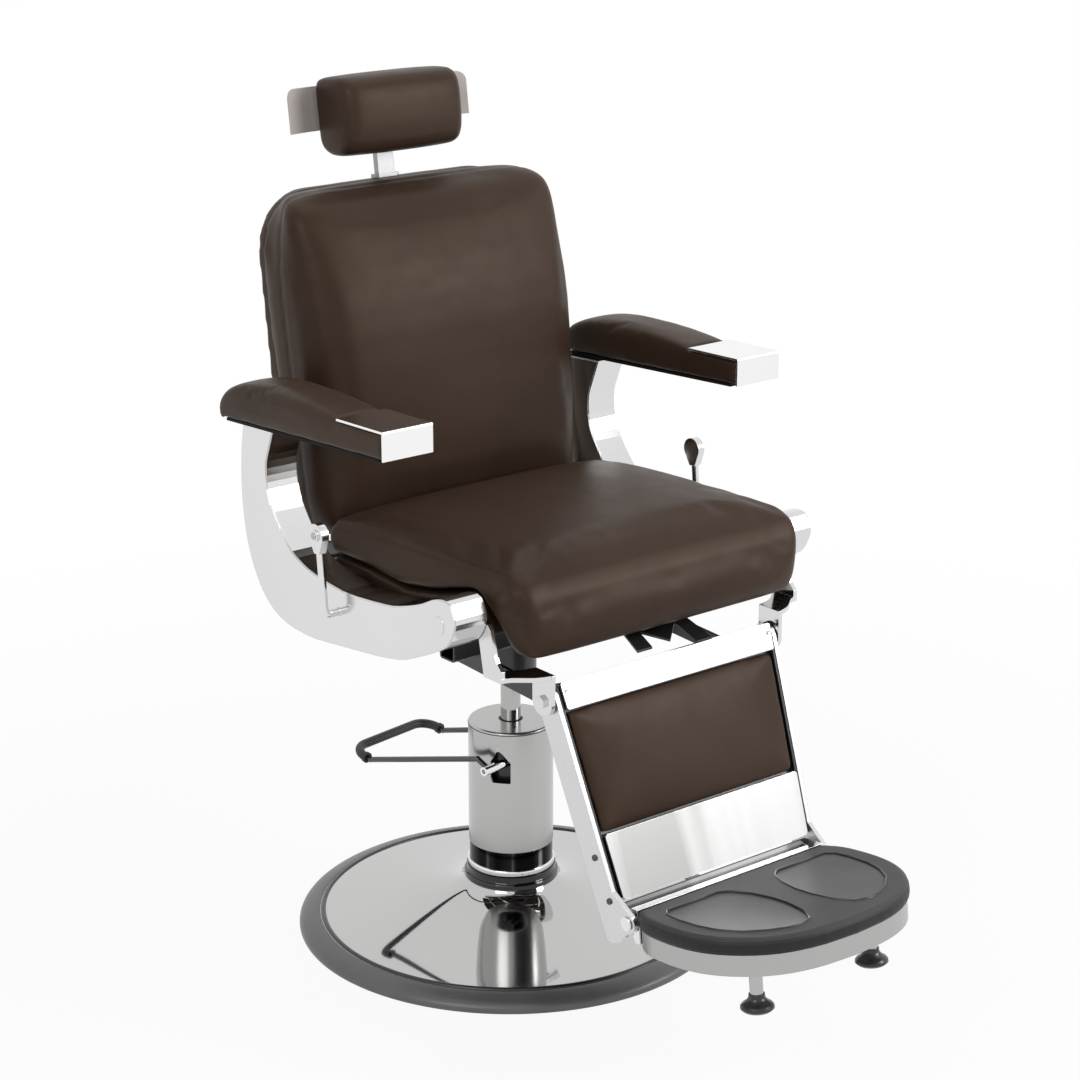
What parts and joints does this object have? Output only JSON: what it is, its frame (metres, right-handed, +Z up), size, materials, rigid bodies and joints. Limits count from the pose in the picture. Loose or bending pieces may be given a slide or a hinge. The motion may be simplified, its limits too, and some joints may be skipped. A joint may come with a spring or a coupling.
{
  "type": "hydraulic barber chair",
  "caption": "Hydraulic barber chair with a round chrome base, pedal pump, curved side panels, reclining back linked to a legrest, flip-up footrest and an adjustable headrest",
  "frame": {"origin": "on the floor at the middle of the round base", "axes": "+Z up, the sitter faces -Y, +X is the sitter's left"},
  "size_m": [0.662, 0.9853, 1.17],
  "materials": {
    "rubber": "black moulded rubber",
    "chrome": "mirror chrome plate",
    "satin": "satin bright steel",
    "black_metal": "black satin paint",
    "black_plastic": "black matte plastic",
    "alloy": "brushed light alloy",
    "leather": "smooth dark brown leather over foam"
  },
  "bodies": {
    "base": {"base_ring": "rubber", "base_plate": "black_metal", "base_cover": "chrome", "pump_collar": "black_metal", "lower_sleeve": "chrome", "column_shroud": "satin", "rod_gland": "black_plastic", "pump_body": "black_metal"},
    "pump_lever": {"pump_axle": "chrome", "pump_loop": "chrome", "pump_grip": "rubber"},
    "piston": {"piston_rod": "chrome"},
    "seat_frame": {"swivel_hub": "black_metal", "seat_rail_right": "black_metal", "seat_rail_left": "black_metal", "front_crossbar": "black_metal", "rear_crossbar": "black_metal", "panel_right": "chrome", "panel_left": "chrome", "seat_base": "leather", "seat_cushion": "leather", "arm_base_right": "black_metal", "arm_base_left": "black_metal", "arm_pad_right": "leather", "arm_pad_left": "leather", "arm_plate_right": "chrome", "arm_plate_left": "chrome", "front_stay": "black_metal", "hanger_right": "satin", "hanger_left": "satin"},
    "recline_levers": {"recline_shaft": "chrome", "recline_lever_right": "chrome", "recline_lever_left": "chrome"},
    "back": {"back_shaft": "satin", "back_frame": "black_metal", "back_cushion": "leather", "back_shell": "leather", "post_sleeve": "chrome"},
    "link_bar_right": {"link_right": "black_metal"},
    "link_bar_left": {"link_left": "black_metal"},
    "post": {"headrest_post": "chrome"},
    "headrest": {"headrest_plate": "chrome", "headrest_cushion": "leather"},
    "legrest": {"legrest_rail_right": "alloy", "legrest_rail_left": "alloy", "legrest_backing": "black_metal", "legrest_band": "chrome", "legrest_skirt": "chrome", "legrest_pad": "leather"},
    "footrest": {"footrest_tray": "alloy", "footrest_pad": "rubber", "footrest_hinge": "chrome", "footrest_leg_right": "satin", "footrest_leg_left": "satin", "footrest_foot_right": "rubber", "footrest_foot_left": "rubber"}
  },
  "joints": [
    {"name": "pump", "type": "hinge", "parent": "base", "child": "pump_lever", "pos_m": [0.00456, -0.02783, 0.2554], "axis": [0.9869, 0.1616, 0], "range_deg": [-20, 8], "stiffness_Nm_per_rad": 60},
    {"name": "lift", "type": "slide", "parent": "base", "child": "piston", "axis": [0, 0, 1], "range_m": [-0.07, 0.1]},
    {"name": "swivel", "type": "hinge", "parent": "piston", "child": "seat_frame", "pos_m": [0, 0, 0.47], "axis": [0, 0, 1], "continuous": true},
    {"name": "recline_release", "type": "hinge", "parent": "seat_frame", "child": "recline_levers", "pos_m": [0, -0.024, 0.5305], "axis": [-1, 0, 0], "range_deg": [0, 20], "stiffness_Nm_per_rad": 20},
    {"name": "recline", "type": "hinge", "parent": "seat_frame", "child": "back", "pos_m": [0, 0.125, 0.54], "axis": [-1, 0, 0], "range_deg": [0, 60]},
    {"name": "legrest_raise", "type": "hinge", "parent": "seat_frame", "child": "legrest", "pos_m": [0, -0.311, 0.467], "axis": [-1, 0, 0], "range_deg": [0, 60]},
    {"name": "link_right_turn", "type": "hinge", "parent": "back", "child": "link_bar_right", "pos_m": [-0.1505, 0.155, 0.52], "axis": [-1, 0, 0], "range_deg": [-60, 0]},
    {"name": "link_left_turn", "type": "hinge", "parent": "back", "child": "link_bar_left", "pos_m": [0.1505, 0.155, 0.52], "axis": [-1, 0, 0], "range_deg": [-60, 0]},
    {"name": "headrest_height", "type": "slide", "parent": "back", "child": "post", "axis": [0, 0.1305, 0.9914], "range_m": [-0.025, 0.09]},
    {"name": "headrest_tilt", "type": "hinge", "parent": "post", "child": "headrest", "pos_m": [0, 0.28853, 1.11558], "axis": [-1, 0, 0], "range_deg": [-8, 35]},
    {"name": "footrest_flip", "type": "hinge", "parent": "legrest", "child": "footrest", "pos_m": [0, -0.446, 0.207], "axis": [-1, 0, 0], "range_deg": [0, 62]}
  ],
  "couplings": [
    {"joint": "legrest_raise", "follows": "recline", "ratio": 1},
    {"joint": "link_right_turn", "follows": "recline", "ratio": -1},
    {"joint": "link_left_turn", "follows": "recline", "ratio": -1}
  ]
}
